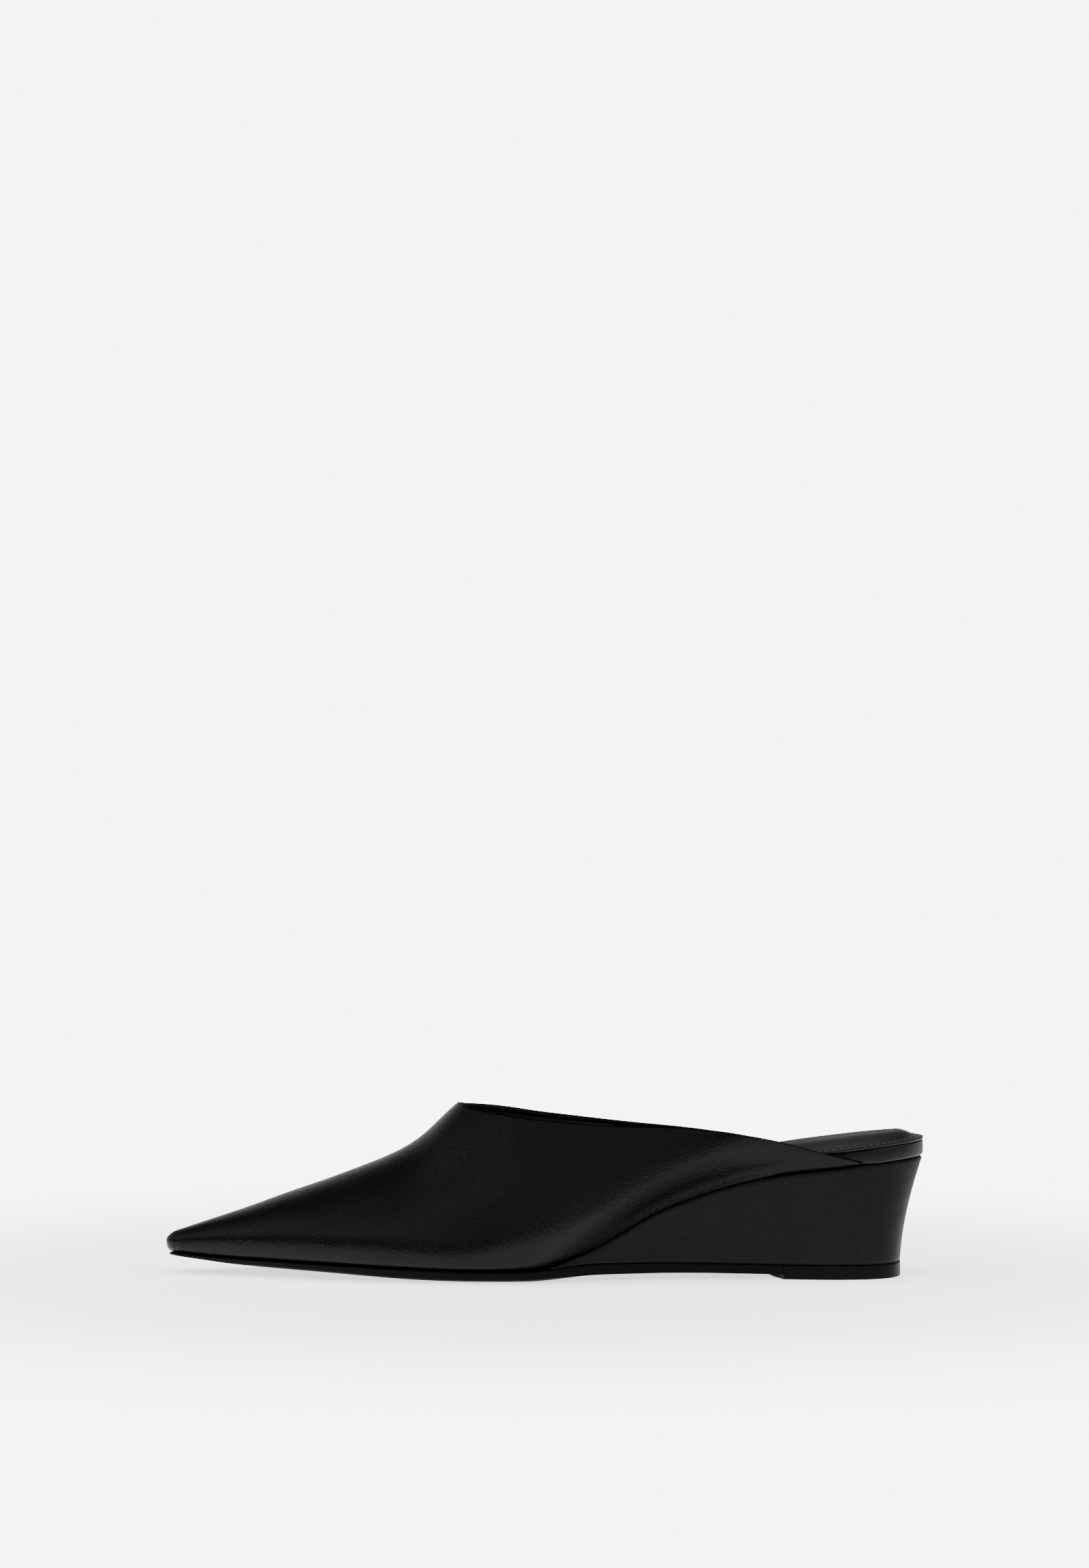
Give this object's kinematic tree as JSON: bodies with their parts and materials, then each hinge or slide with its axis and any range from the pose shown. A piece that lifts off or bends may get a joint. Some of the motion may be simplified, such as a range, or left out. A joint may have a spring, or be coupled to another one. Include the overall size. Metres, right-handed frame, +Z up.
{
  "type": "wedge mule",
  "caption": "Left pointed-toe mule: hollow open-backed leather upper over a padded sock and insole board, on a covered wedge with a thin outsole and a heel lift.",
  "frame": {"origin": "middle of the shoe's box, on the floor under it", "axes": "+X from the toe to the heel, +Y to the medial side, +Z up"},
  "size_m": [0.2642, 0.0836, 0.0588],
  "materials": {
    "upper_leather": "smooth black leather with a fine grain and a semi-matt sheen",
    "insole_board": "matt fibre board",
    "wrap_leather": "smooth black leather",
    "sock_leather": "soft black lining leather over foam",
    "wedge_cover": "matt black leather cover",
    "outsole": "matt black with a rough edge",
    "top_lift": "matt black"
  },
  "bodies": {
    "root": {"upper": "upper_leather", "insole_board": "insole_board", "insole_wrap": "wrap_leather", "sock": "sock_leather", "wedge_heel": "wedge_cover", "outsole": "outsole", "top_lift": "top_lift"}
  },
  "joints": []
}
